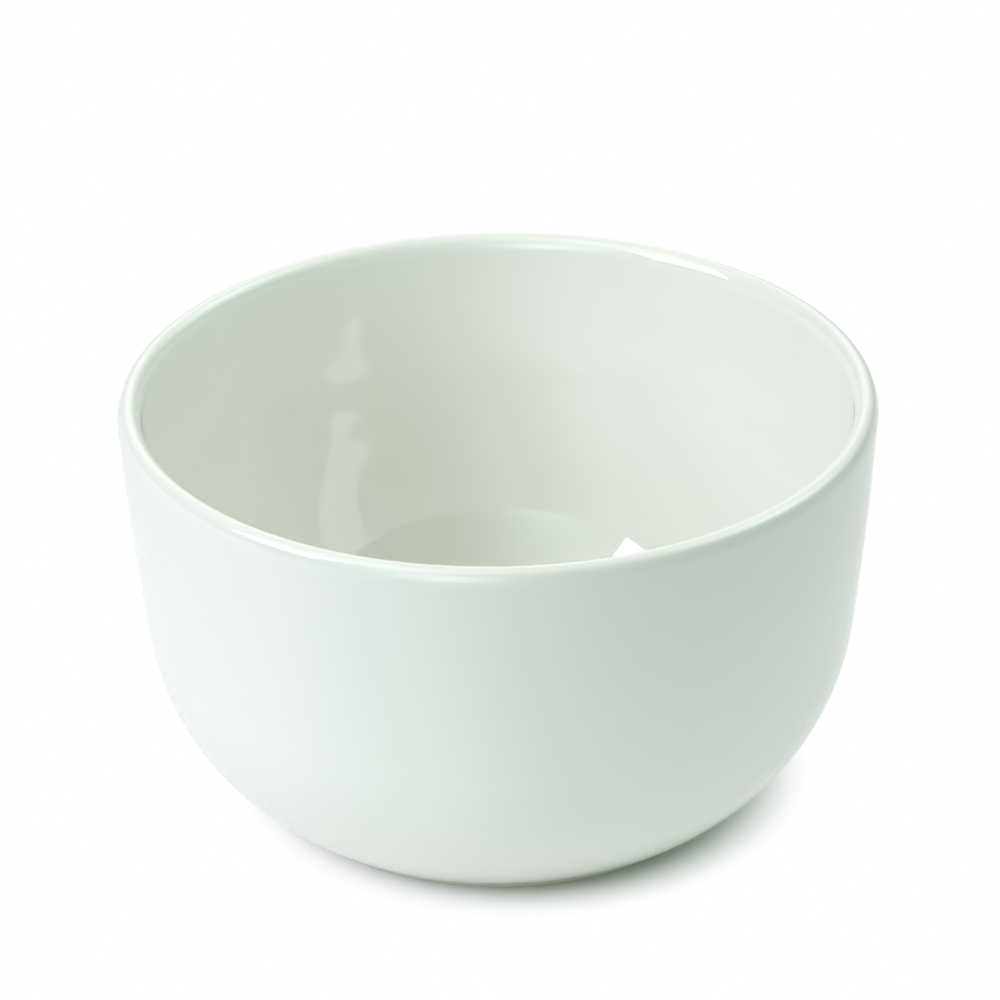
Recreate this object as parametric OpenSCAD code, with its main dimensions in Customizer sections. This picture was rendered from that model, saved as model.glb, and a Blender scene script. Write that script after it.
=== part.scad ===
// Handleless latte bowl: a turned porcelain body under a white glaze.
// The foot ring is wiped bare before firing, so the glaze is two pieces: a coat that runs from the
// foot ring up the outside, over the lip and across the inside, and a patch in the recess below.
// The origin is the centre of the foot plane, and +Z runs up the axis.
// Sizes are those of the finished bowl, over the glaze. A lean is an angle from upright, in degrees.

/* [Bowl] */
// Diameter over the lip
rim_d = 130; // [118:1:142]
// Height from the foot plane to the top of the lip
bowl_h = 74.5; // [66:0.5:84]

/* [Lip] */
// Thickness of the wall where the lip starts
lip_t = 4; // [3.2:0.1:5]
// Height over which the lip draws in to its crest
lip_h = 3; // [2.2:0.1:4]

/* [Wall] */
// Lean of the outside just below the lip
rim_lean = 3.5; // [2.5:0.5:4.5]
// Lean of the outside where the belly starts to turn in
belly_lean = 7; // [6:0.5:8.5]
// Lean of the inside just below the lip
inside_rim_lean = 1.5; // [0.5:0.5:3]
// Lean of the inside where the belly starts to turn in
inside_belly_lean = 6.5; // [5.5:0.5:8]
// Lean of the outside where it reaches the foot
foot_lean = 56.5; // [52:0.5:60]

/* [Floor] */
// Radius of the round corner between the belly and the floor
corner_r = 10; // [7:0.5:13]
// Lean of the inside where that corner starts
corner_lean = 43; // [39:1:47]
// Lean of the inside where the corner runs out into the dished floor
floor_lean = 84; // [82:1:86]
// How far the edge of the dish lies inside the foot ring's outer edge
floor_inset = 1.5; // [0.5:0.5:2.5]
// Thickness of the base at its centre
base_t = 4.5; // [3.5:0.1:6]

/* [Foot ring] */
// Outer diameter of the foot ring
foot_d = 82; // [78:1:85]
// Height of the glaze line above the foot plane
foot_h = 1.6; // [1.2:0.1:2.4]
// How far the wall overhangs the foot ring
foot_ledge = 1.4; // [1.2:0.1:2.2]
// Width of the foot ring
foot_w = 4; // [2.5:0.1:6]
// Depth of the recess inside the foot ring
well_depth = 1.5; // [1:0.1:2.2]

/* [Glaze] */
// Thickness of the fired glaze
glaze_t = 0.3; // [0.2:0.05:0.4]

/* [Hidden] */
// Widest gap between a curve and the straight steps that draw it
curve_gap = 0.005;
// Steps of a full turn about the axis
turn_steps = 180;

// Rounding of the bearing edges and the cove under the ledge, as shares of the foot's height
edge_round_share = 0.35;
cove_share = 0.3;
// Fillet round the recess, as a share of its depth
well_fillet_share = 0.55;

// The lip is half an oval
lip_radii = [lip_t / 2, lip_h];
lip_centre = [rim_d / 2 - lip_radii.x, bowl_h - lip_h];

foot_r = foot_d / 2;
floor_z = well_depth + base_t;
dish_r = (foot_r - floor_inset) / cos(floor_lean);
dish_centre = [0, floor_z + dish_r];
well_r = foot_r - foot_w;
well_z = well_depth + glaze_t;
edge_round = edge_round_share * min(foot_h, well_depth);
cove_r = cove_share * foot_h;
well_fillet = well_fillet_share * well_depth;
patch_r = well_r - well_fillet;

// Unit vector square to a wall of the given lean, pointing away from the axis
function facing(lean) = [cos(lean), -sin(lean)];

// How far past the oval's widest point a wall of the given lean meets it, as an angle and a place
function lip_turn(lean) = atan(lip_radii.y / lip_radii.x * tan(lean));
function lip_reach(lean) =
    let (turn = lip_turn(lean))
    [lip_radii.x * cos(turn), -lip_radii.y * sin(turn)];

// The two radii with which a wall runs smoothly from start to end through three leans
function wall_radii(start, end, leans) =
    let (upper = facing(leans[0]) - facing(leans[1]))
    let (lower = facing(leans[1]) - facing(leans[2]))
    let (drop = start - end)
    [cross(drop, lower), cross(upper, drop)] / cross(upper, lower);

// A wall from the lip down: its upper and lower arcs, each as a centre, a radius and two leans
function wall_arcs(start, end, leans) =
    let (radii = wall_radii(start, end, leans))
    let (upper_centre = start - radii[0] * facing(leans[0]))
    let (lower_centre = upper_centre + (radii[0] - radii[1]) * facing(leans[1]))
    [[upper_centre, radii[0], leans[0], leans[1]], [lower_centre, radii[1], leans[1], leans[2]]];

outer_leans = [rim_lean, belly_lean, foot_lean];
outer_end = [foot_r + foot_ledge, foot_h];
outer_arcs = wall_arcs(lip_centre + lip_reach(rim_lean), outer_end, outer_leans);

// The corner touches the dish at its edge, and the belly comes down to the corner
corner_centre = dish_centre + (dish_r - corner_r) * facing(floor_lean);
corner_arc = [corner_centre, corner_r, corner_lean, floor_lean];
inner_leans = [inside_rim_lean, inside_belly_lean, corner_lean];
inner_end = corner_centre + corner_r * facing(corner_lean);
inner_arcs = wall_arcs(lip_centre - lip_reach(inside_rim_lean), inner_end, inner_leans);

// Lower edge of the bare wall, which the glaze rounds over
bare_end = outer_end - glaze_t * facing(foot_lean);

// Points along an oval from one angle towards another, without its last point
function oval(centre, radii, from, to) =
    let (step = 2 * acos(1 - curve_gap / max(radii)))
    let (count = ceil(abs(to - from) / step))
    [for (i = [0:count - 1])
        let (angle = from + (to - from) * i / count)
        centre + [radii.x * cos(angle), radii.y * sin(angle)]];

function arc(centre, radius, from, to) = oval(centre, [radius, radius], from, to);

// The walls' own arcs, moved into the wall by inset
function outer_arc(a, inset) = arc(a[0], a[1] - inset, -a[2], -a[3]);
function inner_arc(a, inset) = arc(a[0], a[1] + inset, -a[3], -a[2]);

// From the middle of the floor up the inside, over the lip and down the outside to the foot,
// at a depth of inset below the finished surface
function skin(inset) = concat(
    arc(dish_centre, dish_r + inset, -90, -floor_lean),
    inner_arc(corner_arc, inset),
    inner_arc(inner_arcs[1], inset),
    inner_arc(inner_arcs[0], inset),
    oval(lip_centre, lip_radii - [inset, inset], 180 - lip_turn(inside_rim_lean), -lip_turn(rim_lean)),
    outer_arc(outer_arcs[0], inset),
    outer_arc(outer_arcs[1], inset),
    [outer_end - inset * facing(foot_lean)]);

// From the ledge under the wall, round the foot ring and into the recess, to the axis
function underside() = concat(
    arc([foot_r + cove_r, bare_end.y - cove_r], cove_r, 90, 180),
    [[foot_r, bare_end.y - cove_r]],
    arc([foot_r - edge_round, edge_round], edge_round, 0, -90),
    [[foot_r - edge_round, 0]],
    arc([well_r + edge_round, edge_round], edge_round, -90, -180),
    [[well_r, edge_round]],
    arc([patch_r, well_z - well_fillet], well_fillet, 0, 90),
    [[patch_r, well_z], [0, well_z]]);

function backwards(points) = [for (i = [len(points) - 1:-1:0]) points[i]];

// Turns an outline about the axis
module turned(points) {
    rotate_extrude($fn = turn_steps)
        polygon(points);
}

// Fired body, bare on the foot ring and under the glaze everywhere else
module porcelain_body() {
    color("linen")
        turned(concat(skin(glaze_t), underside()));
}

// Glaze inside and out, ending in a round bead under the ledge of the foot
module glaze_coat() {
    bead = arc(bare_end, glaze_t, -foot_lean, -180);
    bead_end = bare_end - [glaze_t, 0];
    color("whitesmoke")
        turned(concat(skin(0), [for (i = [1:len(bead) - 1]) bead[i]], [bead_end],
                      backwards(skin(glaze_t))));
}

// Glaze on the roof of the recess, rounded off at its edge
module foot_well_glaze() {
    edge = arc([patch_r - glaze_t, well_z], glaze_t, 0, -90);
    color("whitesmoke")
        turned(concat([[0, well_z]], edge, [[patch_r - glaze_t, well_depth], [0, well_depth]]));
}

porcelain_body();
glaze_coat();
foot_well_glaze();
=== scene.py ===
import math

import bmesh
import bpy
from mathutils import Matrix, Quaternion, Vector, noise


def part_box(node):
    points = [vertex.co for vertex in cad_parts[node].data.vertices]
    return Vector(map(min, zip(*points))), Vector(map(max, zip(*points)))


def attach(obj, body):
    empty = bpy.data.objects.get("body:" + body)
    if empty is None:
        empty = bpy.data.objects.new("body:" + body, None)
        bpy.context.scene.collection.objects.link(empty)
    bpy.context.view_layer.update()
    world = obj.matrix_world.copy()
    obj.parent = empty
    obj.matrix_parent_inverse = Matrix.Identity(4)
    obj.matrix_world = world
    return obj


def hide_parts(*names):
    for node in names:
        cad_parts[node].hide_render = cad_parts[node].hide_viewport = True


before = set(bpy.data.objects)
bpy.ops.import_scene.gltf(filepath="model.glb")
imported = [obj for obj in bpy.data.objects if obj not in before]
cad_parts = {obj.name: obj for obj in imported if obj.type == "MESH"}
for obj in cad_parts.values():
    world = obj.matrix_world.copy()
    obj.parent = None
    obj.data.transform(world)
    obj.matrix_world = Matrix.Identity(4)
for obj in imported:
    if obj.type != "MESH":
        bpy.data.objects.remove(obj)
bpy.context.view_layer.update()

print("frame loaded:", ", ".join(sorted(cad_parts)))

# outlines are drawn in millimetres, as (radius, height), and meshes are made in metres
toMetres = 0.001


def linear(hexCode):
    shares = [int(hexCode[i:i + 2], 16) / 255 for i in (1, 3, 5)]
    return [s / 12.92 if s <= 0.04045 else ((s + 0.055) / 1.055) ** 2.4 for s in shares] + [1.0]


def addNode(tree, kind, inputs=None, **settings):
    node = tree.nodes.new(kind)
    for name, value in settings.items():
        setattr(node, name, value)
    for socket, value in (inputs or {}).items():
        if isinstance(value, bpy.types.NodeSocket):
            tree.links.new(value, node.inputs[socket])
        else:
            node.inputs[socket].default_value = value
    return node


def newMaterial(name):
    material = bpy.data.materials.new(name)
    material.use_nodes = True
    material.node_tree.nodes.clear()
    return material, material.node_tree


# how finely the pieces are turned: steps in mm along the outline
turning = {
    "steps": 300,  # once around
    "wallStep": 1.05,
    "lipStep": 0.25,
    "hiddenStep": 3.0,
    "footStep": 0.12,
    "leastSteps": 4,  # in an arc, however short
    "axisReach": 1e-6,  # a point closer in than this lies on the axis
    "sharpAngle": 50,  # degrees between faces, over which an edge stays crisp
}

# the turned shape of the bowl: sizes in mm, leans in degrees from upright
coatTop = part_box("glaze_coat")[1] / toMetres
patchLow, patchHigh = (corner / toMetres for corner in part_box("foot_well_glaze"))
bowlShape = {
    "rimRadius": max(coatTop.x, coatTop.y),
    "height": coatTop.z,
    "glazeThickness": patchHigh.z - patchLow.z,
    "wellDepth": patchLow.z,
    "patchRadius": max(patchHigh.x, patchHigh.y),
    "lipThickness": 4.0,
    "lipHeight": 3.0,
    "rimLean": 3.5,
    "bellyLean": 7.0,
    "insideRimLean": 1.5,
    "insideBellyLean": 6.5,
    "footLean": 56.5,
    "cornerRadius": 10.0,
    "cornerLean": 43.0,
    "floorLean": 84.0,
    "dishRadius": 39.5,
    "baseThickness": 4.5,
    "footRadius": 41.0,
    "footHeight": 1.6,
    "footLedge": 1.4,
    "footWidth": 4.0,
    "edgeRound": 0.52,
    "coveRadius": 0.48,
    "wellFillet": 0.82,
}


def facing(lean):
    return Vector((math.cos(math.radians(lean)), -math.sin(math.radians(lean))))


def ovalPoints(centre, radii, start, end, spacing):
    # the last point is left out, so that arcs join end to end
    sweep = math.radians(end - start)
    count = max(turning["leastSteps"], math.ceil(abs(sweep) * max(radii) / spacing))
    angles = [math.radians(start) + sweep * i / count for i in range(count)]
    return [centre + Vector((radii[0] * math.cos(a), radii[1] * math.sin(a))) for a in angles]


def arcPoints(centre, radius, start, end, spacing):
    return ovalPoints(centre, (radius, radius), start, end, spacing)


def wallArcs(start, end, leans):
    # two arcs that run smoothly from the lip down to the end, through three leans
    upper = facing(leans[0]) - facing(leans[1])
    lower = facing(leans[1]) - facing(leans[2])
    drop = start - end
    upperRadius = drop.cross(lower) / upper.cross(lower)
    lowerRadius = upper.cross(drop) / upper.cross(lower)
    upperCentre = start - upperRadius * facing(leans[0])
    lowerCentre = upperCentre + (upperRadius - lowerRadius) * facing(leans[1])
    return (upperCentre, upperRadius, leans[0], leans[1]), (lowerCentre, lowerRadius, leans[1], leans[2])


def skinOutline(shape, inset, wallStep, lipStep):
    # from the middle of the floor up the inside, over the lip and down the outside to the foot
    lipRadii = Vector((shape["lipThickness"] / 2, shape["lipHeight"]))
    lipCentre = Vector((shape["rimRadius"] - lipRadii.x, shape["height"] - lipRadii.y))
    turns = [math.atan(lipRadii.y / lipRadii.x * math.tan(math.radians(shape[lean])))
             for lean in ("insideRimLean", "rimLean")]
    insideStart, outsideStart = (Vector((lipRadii.x * math.cos(turn), -lipRadii.y * math.sin(turn)))
                                 for turn in turns)
    dishArc = shape["dishRadius"] / math.cos(math.radians(shape["floorLean"]))
    dishCentre = Vector((0, shape["wellDepth"] + shape["baseThickness"] + dishArc))
    cornerCentre = dishCentre + (dishArc - shape["cornerRadius"]) * facing(shape["floorLean"])
    insideEnd = cornerCentre + shape["cornerRadius"] * facing(shape["cornerLean"])
    insideLeans = (shape["insideRimLean"], shape["insideBellyLean"], shape["cornerLean"])
    insideWall, insideBelly = wallArcs(lipCentre - insideStart, insideEnd, insideLeans)
    outsideEnd = Vector((shape["footRadius"] + shape["footLedge"], shape["footHeight"]))
    outsideLeans = (shape["rimLean"], shape["bellyLean"], shape["footLean"])
    outsideWall, outsideBelly = wallArcs(lipCentre + outsideStart, outsideEnd, outsideLeans)

    points = arcPoints(dishCentre, dishArc + inset, -90, -shape["floorLean"], wallStep)
    corner = (cornerCentre, shape["cornerRadius"], shape["cornerLean"], shape["floorLean"])
    for centre, radius, high, low in (corner, insideBelly, insideWall):
        points += arcPoints(centre, radius + inset, -low, -high, wallStep)
    points += ovalPoints(lipCentre, lipRadii - Vector((inset, inset)), 180 - math.degrees(turns[0]),
                         -math.degrees(turns[1]), lipStep)
    for centre, radius, high, low in (outsideWall, outsideBelly):
        points += arcPoints(centre, radius - inset, -high, -low, wallStep)
    return points + [outsideEnd - inset * facing(shape["footLean"])]


def turnedMesh(name, outline, place):
    # place(point, index, angle) gives a vertex in mm; a point on the axis makes one vertex
    steps = turning["steps"]
    rings = []
    vertices = []
    for index, point in enumerate(outline):
        count = 1 if point.x < turning["axisReach"] else steps
        rings.append([len(vertices) + i for i in range(count)])
        vertices += [place(point, index, math.tau * i / steps) * toMetres for i in range(count)]
    faces = []
    for lower, upper in zip(rings, rings[1:]):
        for i in range(steps):
            quad = [lower[i % len(lower)], lower[(i + 1) % len(lower)],
                    upper[(i + 1) % len(upper)], upper[i % len(upper)]]
            faces.append(list(dict.fromkeys(quad)))
    mesh = bpy.data.meshes.new(name)
    mesh.from_pydata(vertices, [], faces)
    build = bmesh.new()
    build.from_mesh(mesh)
    bmesh.ops.recalc_face_normals(build, faces=build.faces)
    build.to_mesh(mesh)
    build.free()
    mesh.shade_smooth()
    mesh.set_sharp_from_angle(angle=math.radians(turning["sharpAngle"]))
    piece = bpy.data.objects.new(name, mesh)
    bpy.context.scene.collection.objects.link(piece)
    return piece


def aroundAxis(point, angle):
    return Vector((point.x * math.cos(angle), point.x * math.sin(angle), point.y))


# bare porcelain: a fired, unglazed clay body, wiped and sanded where it stands
# a dry, faintly warm white with fine grit and no shine
barePorcelain = {
    "clay": "#e9e4da",
    "gritShade": "#d6cfc1",
    "gritSize": 0.4,  # mm; the real grit is about 0.1, drawn coarser so that it shows
    "gritDetail": 3.0,
    "gritHeight": 0.02,  # mm
    "gritBump": 0.35,
    "roughness": 0.72,
    "ior": 1.5,
}


def makeBarePorcelain(look):
    material, tree = newMaterial("bare_porcelain_fired_unglazed")
    place = addNode(tree, "ShaderNodeTexCoord").outputs["Object"]
    grit = addNode(tree, "ShaderNodeTexNoise",
                   {"Vector": place, "Scale": 1 / (look["gritSize"] * toMetres),
                    "Detail": look["gritDetail"]})
    shade = addNode(tree, "ShaderNodeMix",
                    {"Factor": grit.outputs["Fac"], "A": linear(look["clay"]),
                     "B": linear(look["gritShade"])},
                    data_type="RGBA")
    bump = addNode(tree, "ShaderNodeBump",
                   {"Height": grit.outputs["Fac"], "Strength": look["gritBump"],
                    "Distance": look["gritHeight"] * toMetres})
    surface = addNode(tree, "ShaderNodeBsdfPrincipled",
                      {"Base Color": shade.outputs["Result"], "Roughness": look["roughness"],
                       "IOR": look["ior"], "Normal": bump.outputs["Normal"]})
    addNode(tree, "ShaderNodeOutputMaterial", {"Surface": surface.outputs["BSDF"]})
    return material


# the glaze's depth is carried on its vertices, from 0 where it is thin to 1 where it pools at the foot;
# the dish's painted shade rides on the same values
evenDepth = 0.5

# white tin-opacified glaze: a glass coat, dipped and fired
# wet gloss over a soft white, a little warmer where it thins over the lip, darker where it pools at the
# foot, and darker in the dish as painted shade
whiteGlaze = {
    "thin": "#f8f0e8",
    "even": "#f4f2ec",
    # the darker end: glaze pooled at the foot, and painted shade in the dish
    "pooledAndDishShade": "#ebeae0",
    "roughness": (0.03, 0.06),  # least and most over the mottle
    "ior": 1.92,  # a plain glass has 1.5; matched to how strongly the inside mirrors the window
    "mottleSize": 18.0,  # mm
    "mottleDetail": 4.0,
    "mottleShade": "#eeede6",
    "mottleShare": 0.25,
    "mottleRange": (0.3, 0.7),  # of the noise, over which the roughness goes from least to most
    "peelSize": 1.8,  # mm, the faint orange peel of a dipped glaze
    "peelDetail": 1.0,
    "peelHeight": 0.004,  # mm
}


def makeWhiteGlaze(look):
    material, tree = newMaterial("white_glaze_dipped_and_fired")
    place = addNode(tree, "ShaderNodeTexCoord").outputs["Object"]
    depth = addNode(tree, "ShaderNodeAttribute", attribute_name="glazeDepthAndDishShade").outputs["Fac"]
    tint = addNode(tree, "ShaderNodeValToRGB", {"Fac": depth})
    ramp = tint.color_ramp
    ramp.elements[0].color = linear(look["thin"])
    ramp.elements[1].color = linear(look["pooledAndDishShade"])
    ramp.elements.new(evenDepth).color = linear(look["even"])
    mottle = addNode(tree, "ShaderNodeTexNoise",
                     {"Vector": place, "Scale": 1 / (look["mottleSize"] * toMetres),
                      "Detail": look["mottleDetail"]})
    patchy = addNode(tree, "ShaderNodeMath", {0: mottle.outputs["Fac"], 1: look["mottleShare"]},
                     operation="MULTIPLY")
    colour = addNode(tree, "ShaderNodeMix",
                     {"Factor": patchy.outputs["Value"], "A": tint.outputs["Color"],
                      "B": linear(look["mottleShade"])},
                     data_type="RGBA")
    low, high = look["mottleRange"]
    least, most = look["roughness"]
    gloss = addNode(tree, "ShaderNodeMapRange",
                    {"Value": mottle.outputs["Fac"], "From Min": low, "From Max": high,
                     "To Min": least, "To Max": most})
    peel = addNode(tree, "ShaderNodeTexNoise",
                   {"Vector": place, "Scale": 1 / (look["peelSize"] * toMetres),
                    "Detail": look["peelDetail"]})
    bump = addNode(tree, "ShaderNodeBump",
                   {"Height": peel.outputs["Fac"], "Strength": 1.0,
                    "Distance": look["peelHeight"] * toMetres})
    surface = addNode(tree, "ShaderNodeBsdfPrincipled",
                      {"Base Color": colour.outputs["Result"], "Roughness": gloss.outputs["Result"],
                       "IOR": look["ior"], "Normal": bump.outputs["Normal"]})
    addNode(tree, "ShaderNodeOutputMaterial", {"Surface": surface.outputs["BSDF"]})
    return material


bareMaterial = makeBarePorcelain(barePorcelain)
glazeMaterial = makeWhiteGlaze(whiteGlaze)
print("materials made:", bareMaterial.name, "and", glazeMaterial.name)

# the glaze coat: ripples left by the shaping of the wall, under a coat that levels them
glazeCoat = {
    "ringSpacing": 11.0,  # mm between the rings of the turning
    "ringHeight": (0.01, 0.03),  # mm, below and above the bend of the wall
    "ringBend": (36.0, 46.0),  # mm up the wall
    "ringChange": 1.5,  # how much the rings differ from side to side
    "ringStart": (7, 3),  # where in the noise they lie
    "waveLength": 24.0,  # mm, slow unevenness all over
    "waveHeight": 0.05,  # mm
    "waveStart": (2.5, 9, 4),
    "outsideShare": 0.4,  # the outside was wiped smoother than the inside
    "swells": [  # mm up the inside, where the melt ran down and gathered
        {"height": 50.5, "above": 9.0, "below": 5.5, "lift": 0.13},
        {"height": 35.0, "above": 10.0, "below": 14.0, "lift": 0.22},
    ],
    "lipRoll": {"inward": 0.85, "reach": 1.0, "lift": 0.06},  # mm, on the lip's outer shoulder
    "lineWander": 0.08,  # mm that the wiped glaze line rises and falls
    "lineReach": 2.0,  # mm above and below it, over which that fades
    "lineInside": 1.0,  # mm in from the foot ring's outside, where that ends
    "lineChange": 4,  # more makes the rises shorter
    "lineStart": 5,
    "thinEdge": (2.0, 0.0),  # mm in from the rim and down from the top, where the melt draws thin
    "thinReach": 1.7,  # mm around that
    "dishShadeEdge": 0.3,  # mm past the dish, where the painted shade in the dish ends; it fades out over its last 1 mm
    "footPool": 3.0,  # mm up from the glaze line, where the melt gathers
}


def makeGlazeCoat(shape, ripple):
    thickness = shape["glazeThickness"]
    finished = skinOutline(shape, 0, turning["wallStep"], turning["lipStep"])
    hidden = skinOutline(shape, thickness, turning["hiddenStep"], turning["lipStep"])
    crest = max(range(len(finished)), key=lambda i: finished[i].y)
    bareEnd = finished[-1] - thickness * facing(shape["footLean"])
    bead = arcPoints(bareEnd, thickness, -shape["footLean"], -180, turning["footStep"])[1:]
    bead.append(bareEnd - Vector((thickness, 0)))
    outline = finished + bead + hidden[::-1]

    travel = [0.0]
    for before, after in zip(finished, finished[1:]):
        travel.append(travel[-1] + (after - before).length)

    def airSide(index):
        along = finished[min(index + 1, len(finished) - 1)] - finished[max(index - 1, 0)]
        return Vector((-along.y, along.x)).normalized()

    air = [airSide(i) for i in range(len(finished))]

    def bulge(height, away):
        # full height in its middle, nothing from 1 outwards
        return height * math.cos(min(1.0, away) * math.pi / 2) ** 2

    def gathered(swell, height):
        reach = swell["above"] if height > swell["height"] else swell["below"]
        return bulge(swell["lift"], abs(height - swell["height"]) / reach)

    roll = ripple["lipRoll"]
    rollRadius = shape["rimRadius"] - roll["inward"]
    rollIndex = next(i for i in range(crest, len(finished)) if finished[i].x > rollRadius)

    def rolled(index):
        return bulge(roll["lift"], abs(travel[index] - travel[rollIndex]) / roll["reach"])

    def lift(point, index, angle):
        around = Vector((0, math.cos(angle), math.sin(angle)))
        along = Vector((travel[index] / ripple["ringSpacing"], *ripple["ringStart"]))
        rings = noise.noise(around * ripple["ringChange"] + along, noise_basis="PERLIN_NEW")
        waves = noise.noise(aroundAxis(point, angle) / ripple["waveLength"] + Vector(ripple["waveStart"]),
                            noise_basis="PERLIN_NEW")
        share = ripple["outsideShare"] if index > crest else 1.0
        start, end = ripple["ringBend"]
        low, high = ripple["ringHeight"]
        ringHeight = low + (high - low) * min(1.0, max(0.0, (point.y - start) / (end - start)))
        swelling = sum(gathered(swell, point.y) for swell in ripple["swells"]) if index < crest else 0.0
        return share * (ringHeight * rings + ripple["waveHeight"] * waves) + swelling + rolled(index)

    def place(point, index, angle):
        if index < len(finished):
            point = point + lift(point, index, angle) * air[index]
        nearLine = 0.0
        if point.x > shape["footRadius"] - ripple["lineInside"]:
            nearLine = max(0.0, 1 - abs(point.y - shape["footHeight"]) / ripple["lineReach"])
        around = Vector((math.cos(angle), math.sin(angle), ripple["lineStart"]))
        wander = noise.noise(around * ripple["lineChange"], noise_basis="PERLIN_NEW")
        return aroundAxis(point + Vector((0, nearLine * ripple["lineWander"] * wander)), angle)

    coat = turnedMesh("glazeCoat", outline, place)
    inward, downward = ripple["thinEdge"]
    thinEdge = Vector((shape["rimRadius"] - inward, shape["height"] - downward))
    poolHeight = shape["footHeight"] + ripple["footPool"]
    depth = coat.data.attributes.new("glazeDepthAndDishShade", "FLOAT", "POINT")
    for vertex, value in zip(coat.data.vertices, depth.data):
        point = Vector((vertex.co.xy.length, vertex.co.z)) / toMetres
        atLip = max(0.0, 1 - (point - thinEdge).length / ripple["thinReach"])
        # the dish is painted darker, up to the pooled colour, as painted shade for its dark reflection
        paintedDishShade = min(1.0, max(0.0, shape["dishRadius"] + ripple["dishShadeEdge"] - point.x))
        nearFoot = max(0.0, (poolHeight - point.y) / ripple["footPool"])
        pooledAndDishShade = nearFoot if point.x > shape["footRadius"] else paintedDishShade
        value.value = evenDepth - evenDepth * atLip + (1 - evenDepth) * pooledAndDishShade
    return coat


coat = makeGlazeCoat(bowlShape, glazeCoat)
coat.data.materials.append(glazeMaterial)
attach(coat, "root")
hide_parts("glaze_coat")
print("glaze coat turned:", len(coat.data.polygons), "faces")

# the body: its skin lies under the glaze, and only the foot ring and the recess's edge stay bare
porcelainBody = {
    "wear": 0.012,  # mm of unevenness where the ring was wiped and sanded
    "wearLength": 5.0,  # mm
    "flatHeight": 0.1,  # mm up from the table, where the bearing face stays even
    "flatSteps": 4,  # across the bearing face
}


def makePorcelainBody(shape, ring):
    thickness = shape["glazeThickness"]
    skin = skinOutline(shape, thickness, turning["hiddenStep"], turning["lipStep"])
    step = turning["footStep"]
    outer = shape["footRadius"]
    inner = outer - shape["footWidth"]
    edge = shape["edgeRound"]
    cove = shape["coveRadius"]
    fillet = shape["wellFillet"]
    coveHeight = skin[-1].y - cove
    roof = shape["wellDepth"] + thickness
    foot = arcPoints(Vector((outer + cove, coveHeight)), cove, 90, 180, step)
    foot += arcPoints(Vector((outer - edge, edge)), edge, 0, -90, step)
    flat = outer - inner - 2 * edge
    foot += [Vector((outer - edge - i / ring["flatSteps"] * flat, 0)) for i in range(ring["flatSteps"])]
    foot += arcPoints(Vector((inner + edge, edge)), edge, -90, -180, step)
    foot += arcPoints(Vector((inner - fillet, roof - fillet)), fillet, 0, 90, step)
    foot += [Vector((inner - fillet, roof)), Vector((0, roof))]

    def place(point, index, angle):
        bare = index > len(skin) and point.y > ring["flatHeight"] and point.x > inner - fillet
        uneven = noise.noise(aroundAxis(point, angle) / ring["wearLength"], noise_basis="PERLIN_NEW")
        return aroundAxis(point + Vector((ring["wear"] * uneven * bare, 0)), angle)

    return turnedMesh("porcelainBody", skin + foot, place)


body = makePorcelainBody(bowlShape, porcelainBody)
body.data.materials.append(bareMaterial)
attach(body, "root")
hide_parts("porcelain_body")
print("porcelain body turned:", len(body.data.polygons), "faces")

# the patch of glaze in the recess, poured in and left to level
wellPatch = {
    "sag": 0.05,  # mm that its surface rises and falls
    "sagLength": 14.0,  # mm
    "ringStep": 2.5,  # mm
    "depth": 0.6,  # a little deeper than the even coat
}


def makeWellPatch(shape, patch):
    thickness = shape["glazeThickness"]
    low = shape["wellDepth"]
    flat = shape["patchRadius"] - thickness
    count = math.ceil(flat / patch["ringStep"])
    rim = arcPoints(Vector((flat, low + thickness)), thickness, 0, -90, turning["footStep"])
    outline = [Vector((0, low + thickness))] + rim
    outline += [Vector((flat * (count - i) / count, low)) for i in range(count + 1)]

    def place(point, index, angle):
        bottom = index > len(rim) and point.x < flat
        sag = noise.noise(aroundAxis(point, angle) / patch["sagLength"], noise_basis="PERLIN_NEW")
        rise = 0.5 + 0.5 * sag  # only ever up into the patch
        return aroundAxis(point + Vector((0, patch["sag"] * rise * bottom)), angle)

    piece = turnedMesh("wellPatch", outline, place)
    depth = piece.data.attributes.new("glazeDepthAndDishShade", "FLOAT", "POINT")
    depth.data.foreach_set("value", [patch["depth"]] * len(piece.data.vertices))
    return piece


patch = makeWellPatch(bowlShape, wellPatch)
patch.data.materials.append(glazeMaterial)
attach(patch, "root")
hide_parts("foot_well_glaze")
print("well patch turned:", len(patch.data.polygons), "faces")

# studio table: a white sheet of satin laminate on a grey bench, with the bowl's shadow close to its foot
# further out the camera sees it as plain white
studioTable = {
    "radius": 3.0,  # m
    "sides": 128,
    "sheet": "#f4f4f2",
    "bench": "#9f9f9d",
    "sheetReach": (0.11, 0.28),  # m from the bowl's axis, where the sheet runs out into the bench
    "roughness": 0.35,
    "ior": 1.45,
    "shadowReach": (0.0395, 0.0515),  # m, from the lit sheet to plain white
    "shadowCentre": (0.0035, 0.0, 0),  # m, away from the window
    "mirrorShare": 0.65,  # of that white in reflections, where the sheet's own shading shows too
    "whiteEdge": (0.22, 0.36),  # m to the right, where the white in reflections ends
}


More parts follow.
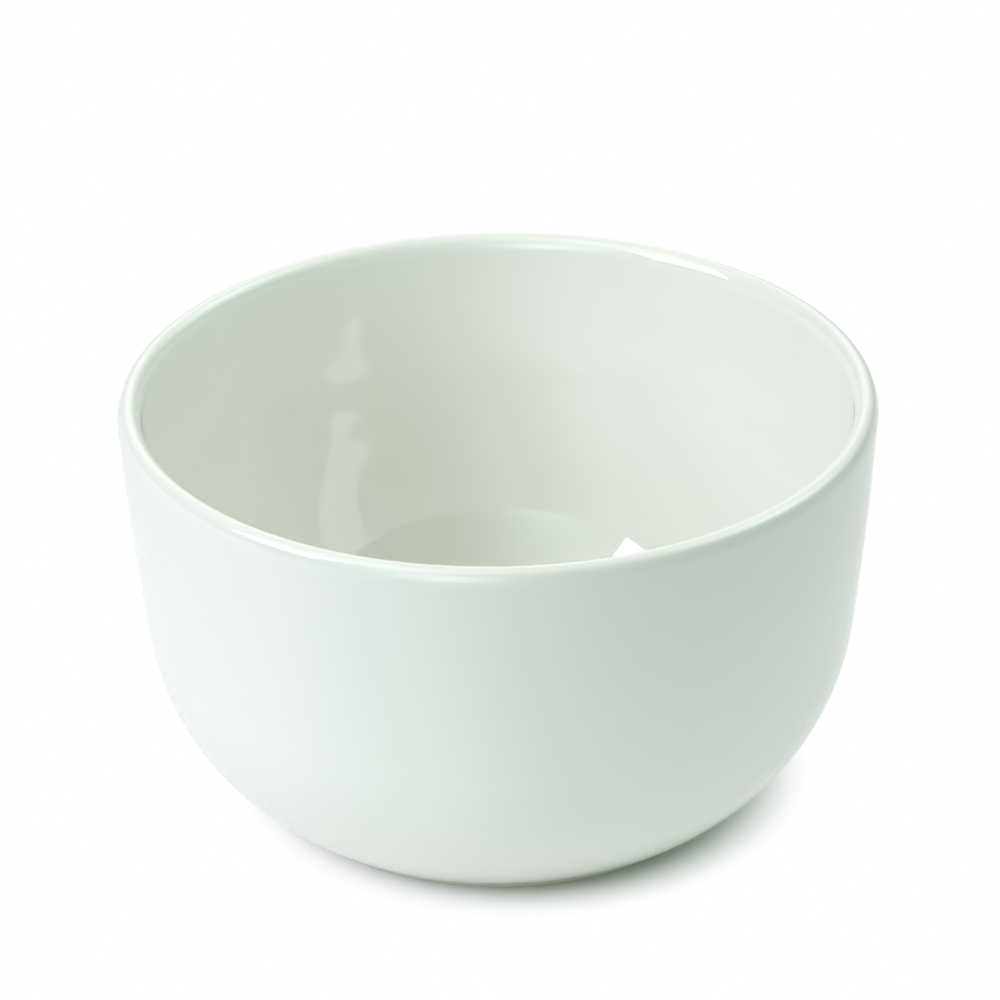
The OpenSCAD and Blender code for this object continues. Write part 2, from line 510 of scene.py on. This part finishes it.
def makeTable(table):
    bpy.ops.mesh.primitive_circle_add(vertices=table["sides"], radius=table["radius"], fill_type="NGON")
    floor = bpy.context.object
    floor.name = "studioTable"
    material, tree = newMaterial("white_laminate_satin")
    path = addNode(tree, "ShaderNodeLightPath").outputs
    mirrored = addNode(tree, "ShaderNodeMath", {0: path["Is Glossy Ray"], 1: path["Is Transmission Ray"]},
                       operation="MAXIMUM")
    place = addNode(tree, "ShaderNodeTexCoord").outputs["Object"]
    across = addNode(tree, "ShaderNodeSeparateXYZ", {"Vector": place}).outputs["X"]
    near, far = table["whiteEdge"]
    whiteShare = addNode(tree, "ShaderNodeMapRange",
                         {"Value": across, "From Min": near, "From Max": far,
                          "To Min": table["mirrorShare"], "To Max": 0.0})
    halfSeen = addNode(tree, "ShaderNodeMath",
                       {0: mirrored.outputs["Value"], 1: whiteShare.outputs["Result"]},
                       operation="MULTIPLY")
    seen = addNode(tree, "ShaderNodeMath", {0: path["Is Camera Ray"], 1: halfSeen.outputs["Value"]},
                   operation="MAXIMUM")
    fromShadow = addNode(tree, "ShaderNodeVectorMath", {0: place, 1: table["shadowCentre"]},
                         operation="DISTANCE").outputs["Value"]
    near, far = table["shadowReach"]
    fade = addNode(tree, "ShaderNodeMapRange", {"Value": fromShadow, "From Min": near, "From Max": far},
                   interpolation_type="SMOOTHSTEP")
    away = addNode(tree, "ShaderNodeVectorMath", {0: place}, operation="LENGTH").outputs["Value"]
    share = addNode(tree, "ShaderNodeMath", {0: seen.outputs["Value"], 1: fade.outputs["Result"]},
                    operation="MULTIPLY")
    near, far = table["sheetReach"]
    spread = addNode(tree, "ShaderNodeMapRange", {"Value": away, "From Min": near, "From Max": far})
    colour = addNode(tree, "ShaderNodeMix",
                     {"Factor": spread.outputs["Result"], "A": linear(table["sheet"]),
                      "B": linear(table["bench"])},
                     data_type="RGBA")
    sheet = addNode(tree, "ShaderNodeBsdfPrincipled",
                    {"Base Color": colour.outputs["Result"], "Roughness": table["roughness"],
                     "IOR": table["ior"]})
    white = addNode(tree, "ShaderNodeEmission", {"Strength": 1.0})  # plain white
    both = addNode(tree, "ShaderNodeMixShader",
                   {0: share.outputs["Value"], 1: sheet.outputs["BSDF"], 2: white.outputs["Emission"]})
    addNode(tree, "ShaderNodeOutputMaterial", {"Surface": both.outputs["Shader"]})
    floor.data.materials.append(material)


makeTable(studioTable)


# azimuth 0 is the camera's side, minus is its left
def skyward(azimuth, elevation):
    turn = math.radians(azimuth)
    rise = math.radians(elevation)
    return Vector((math.sin(turn) * math.cos(rise), -math.cos(turn) * math.cos(rise), math.sin(rise)))


# the window: one square light at the left, which the glaze mirrors as its crisp highlights
# sizes in m, angles in degrees, power in watts
keyWindow = {
    "aim": (0, 0, 0.04),
    "azimuth": -67.5,
    "elevation": 30.5,
    "distance": 1.0,
    "size": (0.49, 0.5),
    "power": 4.65,
    "colour": "#ebe8ff",
}


def addWindow(settings):
    lamp = bpy.data.lights.new("keyWindow", "AREA")
    lamp.shape = "RECTANGLE"
    lamp.size, lamp.size_y = settings["size"]
    lamp.energy = settings["power"]
    lamp.color = linear(settings["colour"])[:3]
    outward = skyward(settings["azimuth"], settings["elevation"])
    rig = bpy.data.objects.new("keyWindow", lamp)
    rig.location = Vector(settings["aim"]) + settings["distance"] * outward
    rig.rotation_euler = outward.to_track_quat("Z", "Y").to_euler()
    bpy.context.scene.collection.objects.link(rig)


addWindow(keyWindow)

# the room: an even dim light and a few broad soft glows, with no edge for the glaze to mirror
room = {
    "even": ("#dcffdc", 0.24),
    "glows": [
        {"azimuth": -60, "elevation": 65, "tightness": 8, "colour": "#fffdf9", "strength": 1.3},
        {"azimuth": -30, "elevation": 35, "tightness": 12, "colour": "#dafcff", "strength": 0.58},
        {"azimuth": -15, "elevation": 11, "tightness": 24, "colour": "#f2feff", "strength": 1.84},
        {"azimuth": 110, "elevation": 40, "tightness": 12, "colour": "#eef9ff", "strength": 2.5},
        {"azimuth": 180, "elevation": 28, "tightness": 8, "colour": "#f1f1ff", "strength": 1.2},
    ],
}


def makeRoom(settings):
    world = bpy.data.worlds.new("studioRoom")
    world.use_nodes = True
    tree = world.node_tree
    tree.nodes.clear()
    direction = addNode(tree, "ShaderNodeTexCoord").outputs["Generated"]
    evenColour, evenStrength = settings["even"]
    light = Vector(linear(evenColour)[:3]) * evenStrength
    for glow in settings["glows"]:
        nearness = addNode(tree, "ShaderNodeVectorMath",
                           {0: direction, 1: skyward(glow["azimuth"], glow["elevation"])},
                           operation="DOT_PRODUCT")
        ahead = addNode(tree, "ShaderNodeMath", {0: nearness.outputs["Value"], 1: 0.0},
                        operation="MAXIMUM")
        falling = addNode(tree, "ShaderNodeMath", {0: ahead.outputs["Value"], 1: glow["tightness"]},
                          operation="POWER")
        colour = Vector(linear(glow["colour"])[:3]) * glow["strength"]
        tinted = addNode(tree, "ShaderNodeVectorMath", {0: colour, "Scale": falling.outputs["Value"]},
                         operation="SCALE")
        light = addNode(tree, "ShaderNodeVectorMath", {0: light, 1: tinted.outputs["Vector"]},
                        operation="ADD").outputs["Vector"]
    background = addNode(tree, "ShaderNodeBackground", {"Color": light})
    addNode(tree, "ShaderNodeOutputWorld", {"Surface": background.outputs["Background"]})
    bpy.context.scene.world = world


makeRoom(room)
print("table, window and room set")

# the photograph's view: sizes in m, angles in degrees
view = {
    "target": (0.00012, 0, 0.05326),
    "elevation": 27.975,
    "distance": 0.910,
    "roll": -0.8834,
    "lens": 189.58,  # mm
    "sensor": 36,  # mm
}


def addCamera(settings):
    camera = bpy.data.cameras.new("photoView")
    camera.lens = settings["lens"]
    camera.sensor_width = settings["sensor"]
    camera.sensor_fit = "HORIZONTAL"
    elevation = math.radians(settings["elevation"])
    back = Vector((0, -math.cos(elevation), math.sin(elevation)))
    rig = bpy.data.objects.new("photoView", camera)
    rig.location = Vector(settings["target"]) + settings["distance"] * back
    tilt = Quaternion((0, 0, 1), math.radians(settings["roll"]))
    rig.rotation_euler = ((-back).to_track_quat("-Z", "Y") @ tilt).to_euler()
    bpy.context.scene.collection.objects.link(rig)
    bpy.context.scene.camera = rig


addCamera(view)
bpy.context.scene.view_settings.view_transform = "Standard"
